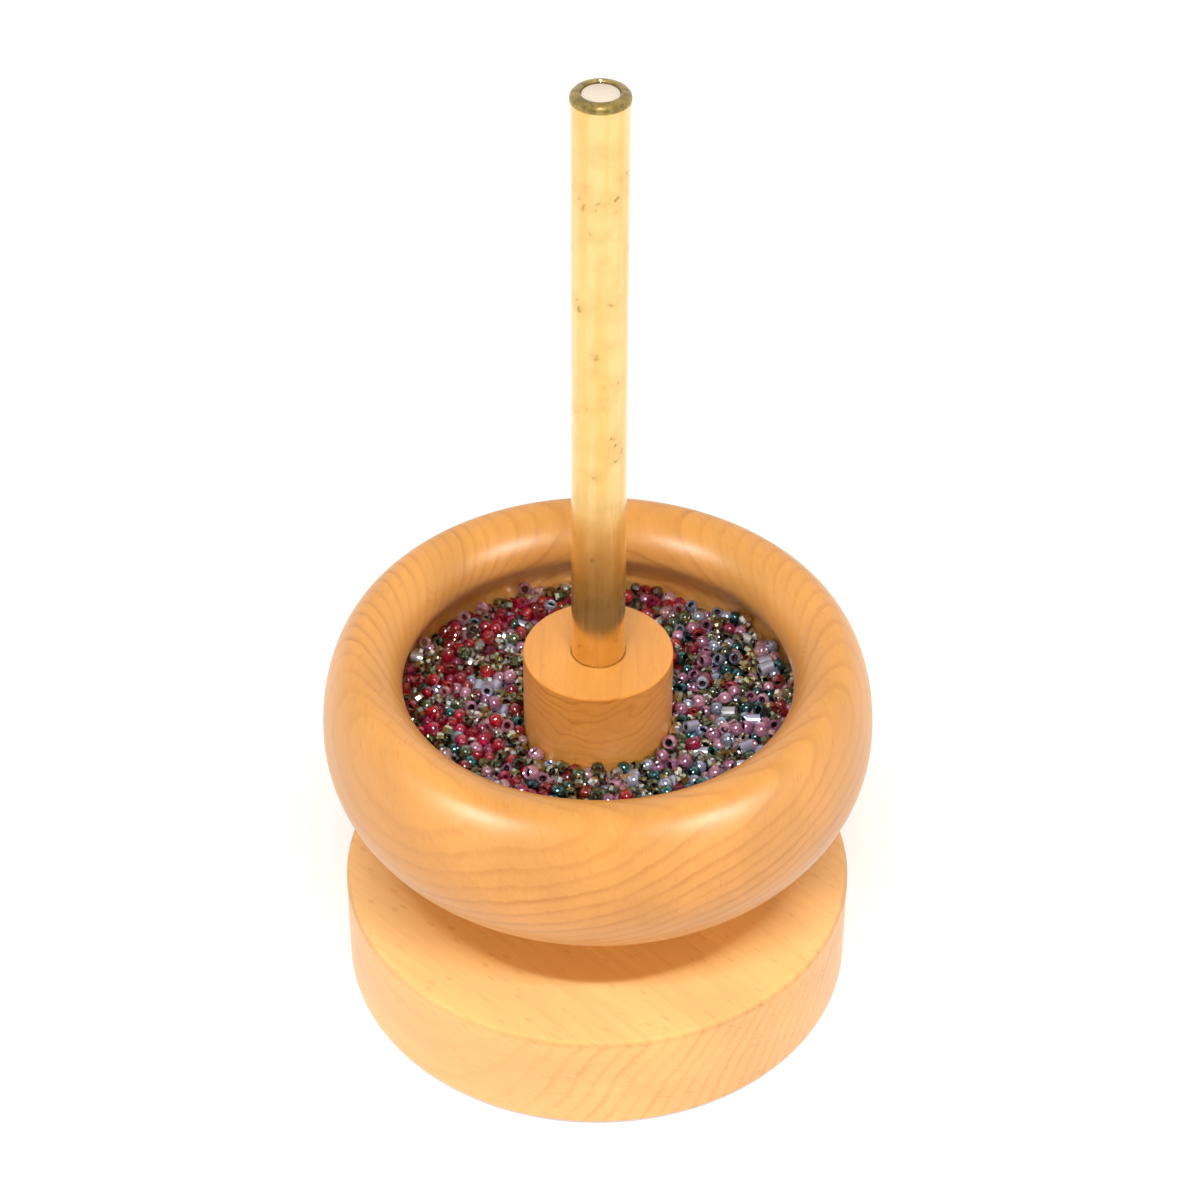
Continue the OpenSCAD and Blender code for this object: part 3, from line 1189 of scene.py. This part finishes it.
@dataclass
class Packing:
    """Beads, taken as ellipsoids, that settle between the hub and the bowl's wall.

    Lengths in here are millimetres. Each bead has a place, an outer radius, half a length and
    the direction of its hole, and grown is the share of their full size that they have now.
    """

    heap: "BeadHeap"
    places: np.ndarray
    radii: np.ndarray
    halves: np.ndarray
    axes: np.ndarray
    grown: float = 1.0

    STEPS = 170
    LIST_EVERY = 6
    DROP = 0.22
    LAST_DROP = 0.05
    PASSES = 4
    NEAR = 4.4
    OVERLAP = 0.95
    CROWD = 1.6
    WALL_GAP = 0.15
    FIRST_SIZE = 0.6
    GROWTH = 0.5
    GROWN_AT = 0.5
    SLOW_AT = 0.75
    TINY = 1e-9

    def settle(self) -> np.ndarray:
        """Lowers the beads while they grow, until they lie on each other.

        Returns:
            Place of each bead.
        """
        pairs = None
        for step in range(self.STEPS):
            if step % self.LIST_EVERY == 0:
                pairs = self.near_pairs()
            growth = self.GROWTH * step / (self.GROWN_AT * self.STEPS)
            self.grown = min(1.0, self.FIRST_SIZE + growth)
            self.places[:, 2] -= self.DROP if step < self.SLOW_AT * self.STEPS else self.LAST_DROP
            for _ in range(self.PASSES):
                self.part(*pairs)
                self.contain()
        return self.places

    def near_pairs(self) -> tuple[np.ndarray, np.ndarray]:
        """Lists the pairs of beads that are near enough to touch.

        Returns:
            First and second bead of each pair.
        """
        centred = (self.places - self.places.mean(axis=0)).astype(np.float32)
        square = (centred**2).sum(axis=1)
        apart = square[:, None] + square[None, :] - 2 * centred @ centred.T
        return np.nonzero(np.triu(apart < self.NEAR**2, k=1))

    def support(self, direction: np.ndarray, chosen: np.ndarray | slice = slice(None)) -> np.ndarray:
        """Reach of each bead from its centre to the touching plane.

        Args:
            direction: Unit direction for each bead, towards the plane.
            chosen: Numbers of the beads.

        Returns:
            Distance for each bead.
        """
        radii = self.radii[chosen] * self.grown
        halves = self.halves[chosen] * self.grown
        share = (direction * self.axes[chosen]).sum(axis=1) ** 2
        return np.sqrt(radii**2 * (1 - share) + halves**2 * share)

    def part(self, one: np.ndarray, two: np.ndarray) -> None:
        """Pushes apart the beads that overlap.

        Args:
            one: First bead of each pair that may touch.
            two: Second bead of each pair.
        """
        gap = self.places[two] - self.places[one]
        length = np.linalg.norm(gap, axis=1) + self.TINY
        gap /= length[:, None]
        need = self.support(gap, one) + self.support(gap, two)
        over = np.maximum(self.OVERLAP * need - length, 0)
        touching = over > 0
        one, two = one[touching], two[touching]
        push = gap[touching] * (0.5 * over[touching])[:, None]
        count = len(self.places)
        met = np.bincount(one, minlength=count) + np.bincount(two, minlength=count)
        ease = self.CROWD / np.maximum(met, self.CROWD)
        for axis in range(3):
            back = np.bincount(one, push[:, axis], count)
            on = np.bincount(two, push[:, axis], count)
            self.places[:, axis] += (on - back) * ease

    def contain(self) -> None:
        """Keeps the beads above the floor, outside the hub and inside the wall."""
        places, bowl = self.places, self.heap.bowl
        nothing = np.zeros(len(places))
        spread = np.hypot(places[:, 0], places[:, 1]) + self.TINY
        outward = np.stack([places[:, 0] / spread, places[:, 1] / spread, nothing], axis=1)
        room = self.support(outward) + self.WALL_GAP
        outer = bowl.wall_r(places[:, 2] * MM + 1 * MM) / MM - room
        wanted = np.clip(spread, bowl.hub_r / MM + room, outer)
        places[:, :2] *= (wanted / spread)[:, None]
        up = np.stack([nothing, nothing, nothing + 1], axis=1)
        lowest = self.heap.floor(places) + self.support(up)
        places[:, 2] = np.maximum(places[:, 2], lowest)


@dataclass
class BeadHeap(Assembly):
    """Loose seed beads poured into the bowl round the hub.

    The upper layers are single beads, dropped and packed by a small relaxation with a fixed
    seed. A closed core below them stands for the beads that can't be seen. Between hub and wall
    the heap rises by its crown above the surface's height. Kinds of glass lie in loose patches
    and fade from left to right and, more slowly, from back to front. The constants of pouring,
    patches, fade and floor are millimetres.
    """

    bowl: TurnedBowl
    surface: float = 74.7 * MM
    crown: float = 1.0 * MM
    layer: float = 7.0 * MM
    core_gap: float = 0.3 * MM
    count: int = 2120
    seed: int = 8

    # The fourth entry of each row colours the hole's wall: bright silver where lined is above 0, and a dark
    # painted shade in the hole where lined is 0
    GLASSES = tuple(
        BeadGlass(f"beads_{name}", shape, *row)
        for shape, rows in {
            BeadShape.ROUND: (
                ("ruby", "#D40A30", "#8C0422", "#F0B8A8", 0.9, 0.0, 0.03, 0.75, 4.4, 0.2),
                ("scarlet", "#D83018", "#B02412", "#F0B890", 0.7, 0.0, 0.04, 0.8, 0.4, 0.1),
                ("magenta", "#D81C62", "#9A1A4E", "#E0A0B0", 0.6, 0.0, 0.03, 0.75, 2.0, 0.4),
                ("mauve", "#BC8CA4", "#8A587A", "#301820", 0.0, 0.45, 0.12, 0.0, 1.4, 1.9),
                ("rose", "#E4C0C8", "#C896A8", "#E8D4CC", 0.8, 0.0, 0.05, 0.75, 1.2, 0.9),
                ("teal", "#2A7070", "#164654", "#061212", 0.0, 0.9, 0.1, 0.0, 0.5, 1.6),
                ("green", "#6C7C58", "#34483A", "#F0E8C8", 1.0, 0.6, 0.08, 0.6, 1.2, 1.6),
                ("blue_grey", "#A8B0C8", "#7A84A0", "#202228", 0.0, 0.6, 0.14, 0.0, 0.6, 1.8),
            ),
            BeadShape.SMALL: (
                ("olive", "#CCCEA2", "#8E946C", "#F4ECCC", 1.0, 0.75, 0.08, 1.0, 2.6, 3.2),
                ("smoke", "#C2BEAC", "#88867A", "#E8E2D4", 1.0, 0.75, 0.08, 1.0, 1.6, 1.6),
                ("clear", "#F8F6EE", "#E2E0D8", "#F8F4EC", 1.0, 0.65, 0.08, 1.0, 2.0, 3.0),
            ),
            BeadShape.TUBE: (
                ("lavender", "#A8AEC6", "#8A8EA8", "#30303A", 0.0, 0.55, 0.3, 0.0, 0.9, 1.6),
                ("silver", "#C0C0C2", "#A4A4A8", "#5C5A56", 0.0, 0.55, 0.32, 0.0, 0.8, 0.5),
            ),
        }.items()
        for name, *row in rows
    )
    SHARES = {BeadShape.ROUND: 0.55, BeadShape.SMALL: 0.39, BeadShape.TUBE: 0.06}
    SIZE_SPREAD = 0.07
    SIZE_LIMITS = (0.86, 1.16)
    TUBE_TILT = 0.12
    POUR_R = 46.0
    POUR_GAP = 2
    POUR_DEPTH = 1.6
    PATCH_WAVES = 4
    PATCH_SIZES = (12, 26)
    PATCH_STRENGTH = 0.45
    SIDE_FADE = (40, 90)
    FLOOR_WAVE = (6.1, 7.3, 0.5)

    def build(self) -> None:
        """Makes the core and one piece of beads for each kind of glass."""
        random = np.random.default_rng(self.seed)
        shapes = list(BeadShape)
        kinds = random.choice(len(shapes), self.count, p=[self.SHARES[s] for s in shapes])
        across, lengths = (np.array([s.value[i] / 2 for s in shapes])[kinds] for i in (0, 1))
        sizes = np.clip(random.normal(1.0, self.SIZE_SPREAD, self.count), *self.SIZE_LIMITS)
        axes = random.normal(size=(self.count, 3))
        axes[kinds == shapes.index(BeadShape.TUBE), 2] *= self.TUBE_TILT
        axes /= np.linalg.norm(axes, axis=1)[:, None]
        places = Packing(self, self.pour(random), across * sizes, lengths * sizes, axes).settle()
        glass = self.choose(random, places, kinds)
        spins = random.uniform(0, 2 * math.pi, self.count)
        tints = random.uniform(0, 1, self.count)
        scatter = BeadScatter()
        for index, finish in enumerate(self.GLASSES):
            chosen = glass == index
            turns = [
                Vector(axis).to_track_quat("Z", "Y").to_matrix() @ Matrix.Rotation(spin, 3, "Z")
                for axis, spin in zip(axes[chosen], spins[chosen])
            ]
            piece = new_piece(finish.name, places[chosen] * MM, [], [])
            for name, kind, field, values in (
                ("turn", "FLOAT_VECTOR", "vector", np.array([turn.to_euler() for turn in turns])),
                ("size", "FLOAT", "value", sizes[chosen]),
                ("tint", "FLOAT", "value", tints[chosen]),
            ):
                stored = piece.data.attributes.new(name, kind, "POINT")
                stored.data.foreach_set(field, values.ravel())
            self.bead_piece(scatter, piece, finish)
        self.core()

    @staticmethod
    def bead_piece(scatter: BeadScatter, piece: Object, finish: BeadGlass) -> None:
        """Puts a bead on each point of a piece.

        Args:
            scatter: Tool that places them.
            piece: Piece with a point for each bead.
            finish: Glass and shape of the beads.
        """
        across, length, hole, corners, crease = finish.shape.value
        outside = across / 2 * MM
        inside = hole / 2 * MM
        step = math.pi / corners
        tallest = max(math.sin(step + 2 * step * i) for i in range(corners))
        section = ((outside - inside) / 2 / math.cos(step), length / 2 * MM / tallest, 1.0)
        sizes = {"Middle": (outside + inside) / 2, "Section": section, "Hole": inside, "Outside": outside}
        scatter.run(piece, finish.material(), crease, Around=10, Corners=corners, **sizes)
        hand_over(piece, Body.BOWL, "bead_charge")

    def floor(self, places: np.ndarray) -> np.ndarray:
        """Height that the lowest single beads rest on, a little uneven, all in millimetres.

        Args:
            places: Places of the beads.

        Returns:
            Floor height under each bead.
        """
        reach = np.hypot(places[:, 0], places[:, 1])
        inner = self.bowl.hub_r / MM
        share = np.clip((reach - inner) / (self.bowl.cavity_r / MM - inner), 0, 1)
        rise = self.crown / MM * np.sin(math.pi * share)
        wave_x, wave_y, wave_h = self.FLOOR_WAVE
        wave = wave_h * np.sin(places[:, 0] / wave_x + 1.0) * np.cos(places[:, 1] / wave_y)
        return (self.surface - self.layer) / MM + rise + wave

    def pour(self, random: np.random.Generator) -> np.ndarray:
        """Draws a starting place in millimetres for each bead, above the floor.

        Args:
            random: Source of the draws.

        Returns:
            Starting places.
        """
        inner = self.bowl.hub_r / MM + self.POUR_GAP
        angle = random.uniform(0, 2 * math.pi, self.count)
        reach = np.sqrt(random.uniform(inner**2, self.POUR_R**2, self.count))
        start = (self.surface - self.layer) / MM
        height = random.uniform(start + 1, start + self.POUR_DEPTH * self.layer / MM, self.count)
        return np.stack([reach * np.cos(angle), reach * np.sin(angle), height], axis=1)

    def choose(self, random: np.random.Generator, places: np.ndarray, kinds: np.ndarray) -> np.ndarray:
        """Draws each bead's glass by where it lies, so that kinds lie in loose patches.

        Args:
            random: Source of the draws.
            places: Places of the beads in millimetres.
            kinds: Number of each bead's shape.

        Returns:
            Number of each bead's glass.
        """
        x, y = places[:, 0], places[:, 1]
        share = np.clip(x / self.SIDE_FADE[0] - y / self.SIDE_FADE[1] + 0.5, 0, 1)
        weights = np.zeros((len(self.GLASSES), self.count))
        for index, glass in enumerate(self.GLASSES):
            patch = np.zeros(self.count)
            for _ in range(self.PATCH_WAVES):
                way = random.uniform(0, 2 * math.pi)
                phase = random.uniform(0, 2 * math.pi)
                along = x * math.cos(way) + y * math.sin(way)
                patch += np.cos(along * 2 * math.pi / random.uniform(*self.PATCH_SIZES) + phase)
            fits = kinds == list(BeadShape).index(glass.shape)
            amount = glass.left * (1 - share) + glass.right * share
            weights[index] = fits * amount * np.exp(self.PATCH_STRENGTH * patch)
        weights /= weights.sum(axis=0)
        draw = random.uniform(0, 1, self.count)
        return (np.cumsum(weights, axis=0) < draw).sum(axis=0)

    def core(self) -> None:
        """Makes the closed core that stands for the beads below the single ones, painted near black as a
        painted shade in the gaps between them.
        """
        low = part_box("bead_charge")[0]
        bowl, gap = self.bowl, self.core_gap
        inner = bowl.hub_r + gap
        outer = bowl.cavity_r - gap
        top = self.surface - self.layer - 0.2 * MM
        # The core is painted near black: a painted shade for the dark gaps between the beads above it
        dark = Moulded("bead_shade", "#2A2226", "#1C1719", 0.6, 2.4 * MM, 0.4 * MM).material()
        rounding = arc(bowl.corner, bowl.fillet - gap, bowl.fillet - gap, -90, 0, 8)
        core = self.lathe.turn("bead_core", [(inner, low.z), *rounding, (outer, top), (inner, top)], dark)
        hand_over(core, Body.BOWL, "bead_charge")


@dataclass(frozen=True)
class SoftBoxes:
    """Two equal square lamps, one at each side of the camera, by angles in degrees and watts.

    They show in the gloss of the pieces whose names start with gloss_of alone, or else light all
    surfaces.
    """

    name: str
    turn: float
    height: float
    side: float
    power: float
    colour: str = "#FFE2B8"
    gloss_of: tuple[str, ...] = ()


@dataclass
class Studio:
    """Pale floor, soft white surroundings, a key light in front and the photograph's camera.

    Angles are degrees, and those of height are above the horizon. The key light, key_width high
    and key_spread wide as seen from the object, is made of lamps side by side. Glints names the
    bright pieces and gives the key light's strength in their gloss. Fill is the surroundings'
    light on surfaces, room_light the brightness of the dark room in gloss and glass, and
    floor_lift the light added to the floor where it is seen.
    """

    camera_at: Place = (0.0, -0.536955, 0.55219)
    camera_tilt: float = 50.338
    camera_roll: float = 0.262
    lens: float = 94.735
    sensor: float = 36.0
    shift: float = 0.001325
    view_end: float = 20
    key_height: float = 59.4
    key_width: float = 2.3
    key_spread: float = 48.0
    key_lamps: int = 9
    key_strength: float = 2.75
    glints: tuple[tuple[str, float], ...] = (("brass_", 2.0), ("beads_", 7.0))
    box_away: float = 2.0
    box_aim: float = 0.08
    boxes: tuple[SoftBoxes, ...] = (
        SoftBoxes("front_box", 48, 28, 0.7, 9.5),
        SoftBoxes("side_box", 95, 35, 1.2, 4.5),
        SoftBoxes("glare_box", 48, 28, 0.6, 26.0, "#FFFFFF", ("turned_bowl", "beads_")),
    )
    fill: float = 0.33
    fill_colour: str = "#FFCB70"
    room_height: float = 62.0
    room_light: float = 0.22
    floor_half: float = 6.0
    floor_lift: float = 0.58

    def build(self) -> None:
        """Sets up the camera, the lamps, the surroundings and the floor."""
        self.camera()
        self.lamps()
        self.surroundings()
        self.floor()

    def camera(self) -> None:
        """Makes the camera at the photograph's viewing angle."""
        data = bpy.data.cameras.new("camera")
        data.lens = self.lens
        data.sensor_width = self.sensor
        data.shift_x = self.shift
        data.clip_end = self.view_end
        camera = bpy.data.objects.new("camera", data)
        bpy.context.scene.collection.objects.link(camera)
        tilt = Matrix.Rotation(math.radians(self.camera_tilt), 4, "X")
        roll = Matrix.Rotation(math.radians(self.camera_roll), 4, "Z")
        camera.matrix_world = Matrix.Translation(self.camera_at) @ tilt @ roll
        bpy.context.scene.camera = camera

    def lamps(self) -> None:
        """Makes the key light and the soft boxes.

        The photograph's wood shows no glare of the key light, as behind a filter, while brass
        and glass do, so further lamps in the same place make the glints on those two alone.
        """
        for number in range(self.key_lamps):
            turn = (number / (self.key_lamps - 1) - 0.5) * self.key_spread
            self.key(f"key_{number}", turn, self.key_strength / self.key_lamps)
        for start, strength in self.glints:
            self.key(f"glint_on_{start}", 0.0, strength, (start,))
        for pair in self.boxes:
            self.box(pair, -1)
            self.box(pair, 1)

    @staticmethod
    def lamp(name: str, kind: str, energy: float, gloss_of: tuple[str, ...]) -> Object:
        """Makes one lamp and links it into the scene.

        Args:
            name: Name of the lamp.
            kind: Blender's kind of light.
            energy: Its strength.
            gloss_of: As in SoftBoxes.

        Returns:
            The lamp.
        """
        light = bpy.data.lights.new(name, kind)
        light.energy = energy
        lamp = bpy.data.objects.new(name, light)
        lamp.visible_glossy = bool(gloss_of)
        lamp.visible_diffuse = not gloss_of
        if gloss_of:
            lit = bpy.data.collections.new(f"lit_by_{name}")
            for piece in bpy.data.objects:
                if piece.name.startswith(gloss_of):
                    lit.objects.link(piece)
            lamp.light_linking.receiver_collection = lit
        bpy.context.scene.collection.objects.link(lamp)
        return lamp

    def key(self, name: str, turn: float, strength: float, gloss_of: tuple[str, ...] = ()) -> None:
        """Makes one part of the key light, in front of the object.

        Args:
            name: Name of the lamp.
            turn: Turn to the side in degrees.
            strength: Its strength.
            gloss_of: As in SoftBoxes.
        """
        lamp = self.lamp(name, "SUN", strength, gloss_of)
        lamp.data.angle = math.radians(self.key_width)
        lamp.rotation_euler = (math.radians(90 - self.key_height), 0, math.radians(turn))

    def box(self, pair: SoftBoxes, side: int) -> None:
        """Makes one soft box, aimed at the object.

        Args:
            pair: Pair that it belongs to.
            side: -1 for the left and 1 for the right.
        """
        name = f"{pair.name}_{'left' if side < 0 else 'right'}"
        lamp = self.lamp(name, "AREA", pair.power, pair.gloss_of)
        lamp.data.size = pair.side
        lamp.data.color = linear(pair.colour)[:3]
        turn = Matrix.Rotation(side * math.radians(pair.turn), 3, "Z")
        rise = Matrix.Rotation(-math.radians(pair.height), 3, "X")
        away = turn @ rise @ Vector((0, -1, 0))
        lamp.location = Vector((0, 0, self.box_aim)) + self.box_away * away
        lamp.rotation_euler = (-away).to_track_quat("-Z", "Y").to_euler()

    @staticmethod
    def seen_share(add: Adder) -> Socket:
        """Share that is 1 where the eye, a mirror or glass looks, and 0 for light on a surface.

        Args:
            add: What adds nodes to the tree.

        Returns:
            Output with the share.
        """
        rays = add("LightPath", output=None)
        indirect = add("Math MAXIMUM", rays["Is Glossy Ray"], rays["Is Transmission Ray"])
        return add("Math MAXIMUM", rays["Is Camera Ray"], indirect)

    def surroundings(self) -> None:
        """Makes the world white where it is seen and softer where it lights the object.

        In gloss and glass the white walls end in a dark room, above and behind the camera.
        """
        world = bpy.data.worlds.new("studio")
        bpy.context.scene.world = world
        add = empty_tree(world)
        seen = self.seen_share(add)
        rise = math.radians(self.room_height)
        middle = (0, -math.cos(rise), math.sin(rise))
        way = add("TexCoord", output="Generated")
        towards = add("VectorMath DOT_PRODUCT", way, middle, output="Value")
        room = (0.4, 0.85, 1.0, self.room_light)
        mirrored = add("MapRange", towards, *room, interpolation_type="SMOOTHSTEP")
        direct = add("LightPath", output="Is Camera Ray")
        bright = add("Math MAXIMUM", mirrored, direct)
        mixed = {0: seen, MIX_A: self.fill_colour, MIX_B: "#FFFFFF"}
        colour = add("Mix", mixed, output=MIX_RESULT, data_type="RGBA")
        sky = add("Background", colour, add("MapRange", seen, 0.0, 1.0, self.fill, bright))
        add("OutputWorld", sky, output=None)
        bpy.context.scene.view_settings.view_transform = "Standard"

    def floor(self) -> None:
        """Makes the pale floor, which keeps the object's shadow and lets a view from below through."""
        half = self.floor_half
        corners = [(-half, -half, 0), (half, -half, 0), (half, half, 0), (-half, half, 0)]
        floor = new_piece("floor", corners, [], [(0, 1, 2, 3)])
        material = bpy.data.materials.new("pale_floor")
        add = empty_tree(material)
        matt = add("BsdfDiffuse", "#D2CCC0")
        lift = add("Math MULTIPLY", self.seen_share(add), self.floor_lift)
        both = add("AddShader", matt, add("Emission", "#D9ECFF", lift))
        below = add("NewGeometry", output="Backfacing")
        see_through = add("MixShader", below, both, add("BsdfTransparent"))
        add("OutputMaterial", see_through, output=None)
        floor.data.materials.append(material)


def main() -> None:
    """Builds each sub-assembly, from the floor up, and then the studio round them."""
    logging.basicConfig(level=logging.INFO, format="%(message)s")
    lathe = Lathe()
    bowl = TurnedBowl(lathe)
    below = (TurnedBase(lathe), AxleStack(lathe), PivotTop(lathe), Spindle(lathe))
    for part in (*below, bowl, BeadHeap(lathe, bowl)):
        part.build()
    Studio().build()


if __name__ == "__main__":
    main()
